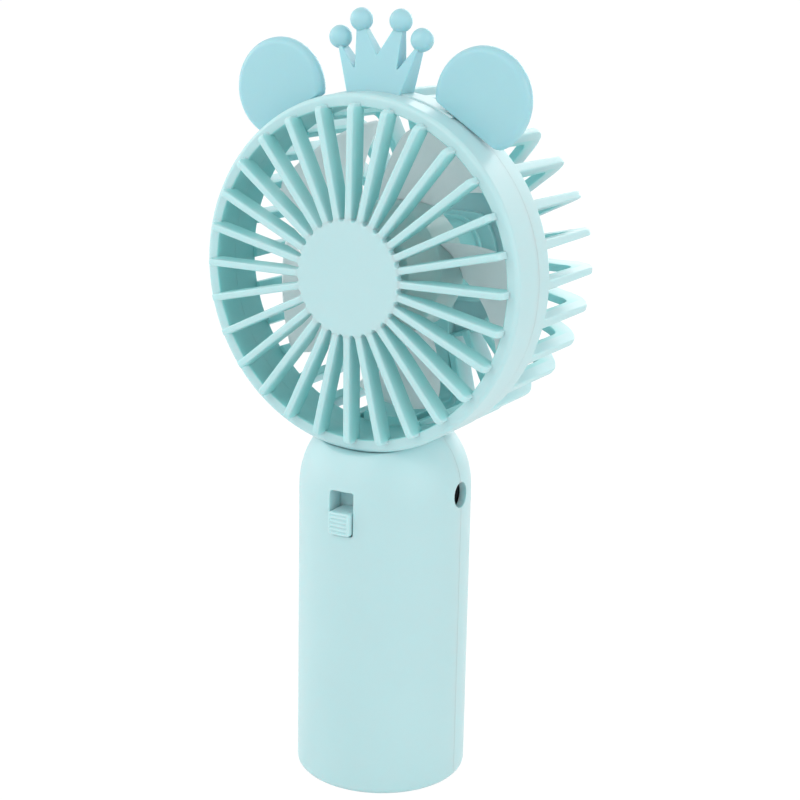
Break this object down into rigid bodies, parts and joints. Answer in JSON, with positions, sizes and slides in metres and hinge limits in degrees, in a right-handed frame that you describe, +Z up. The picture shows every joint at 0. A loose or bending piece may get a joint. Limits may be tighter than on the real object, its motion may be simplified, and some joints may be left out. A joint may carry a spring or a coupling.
{
  "type": "handheld electric fan",
  "caption": "Handheld battery fan: a round caged head with bear ears and a small crown, on a straight round handle with a slide switch and a charging hole.",
  "frame": {"origin": "middle of the flat base of the handle", "axes": "+Z up along the handle, -Y the way the air blows, +X to the right seen from the front"},
  "size_m": [0.084, 0.0552, 0.1882],
  "materials": {
    "mint_abs": "satin moulded ABS, pale mint",
    "teal_abs": "satin moulded ABS, deeper teal",
    "frosted_plastic": "frosted translucent polypropylene",
    "zinc_steel": "zinc plated, dull",
    "polished_steel": "ground bright",
    "lamination_steel": "stacked sheet, dull",
    "enamelled_copper": "enamelled copper wire",
    "copper": "turned copper",
    "ferrite": "pressed ferrite, charcoal",
    "black_nylon": "moulded nylon, black",
    "sintered_bronze": "oil-filled sintered bronze",
    "tinned_brass": "tin plated",
    "red_lead": "soft PVC sleeve, red",
    "black_lead": "soft PVC sleeve, black",
    "cell_sleeve": "shrunk PVC sleeve, blue",
    "nickel_strip": "rolled nickel",
    "green_board": "glass epoxy with green solder mask",
    "nickel_pin": "nickel plated"
  },
  "bodies": {
    "fan_body": {"front_grille": "mint_abs", "front_ring": "mint_abs", "rear_ring": "mint_abs", "rear_cage": "mint_abs", "hub_plate": "mint_abs", "hub_cover": "mint_abs", "hub_screws": "zinc_steel", "crown_band": "teal_abs", "ear_left": "teal_abs", "ear_right": "teal_abs", "motor_can": "zinc_steel", "motor_magnets": "ferrite", "motor_end_cap": "black_nylon", "motor_bushes": "sintered_bronze", "motor_brushes": "copper", "motor_terminals": "tinned_brass", "motor_leads": "red_lead", "handle_front_shell": "mint_abs", "handle_rear_shell": "mint_abs", "handle_screws": "zinc_steel", "battery_cell": "cell_sleeve", "battery_tabs": "nickel_strip", "battery_lead": "black_lead", "circuit_board": "green_board", "board_components": "black_nylon", "board_screws": "zinc_steel", "slide_switch_body": "zinc_steel", "charge_jack": "black_nylon", "jack_pin": "nickel_pin", "jack_contacts": "tinned_brass"},
    "rotor": {"impeller": "frosted_plastic", "motor_shaft": "polished_steel", "armature_core": "lamination_steel", "armature_windings": "enamelled_copper", "commutator": "copper"},
    "switch": {"switch_button": "mint_abs", "switch_slider": "black_nylon"}
  },
  "joints": [
    {"name": "fan_spin", "type": "hinge", "parent": "fan_body", "child": "rotor", "pos_m": [0, 0, 0.1276], "axis": [0, 1, 0], "continuous": true},
    {"name": "switch_slide", "type": "slide", "parent": "fan_body", "child": "switch", "axis": [0, 0, 1], "range_m": [0, 0.0042]}
  ]
}
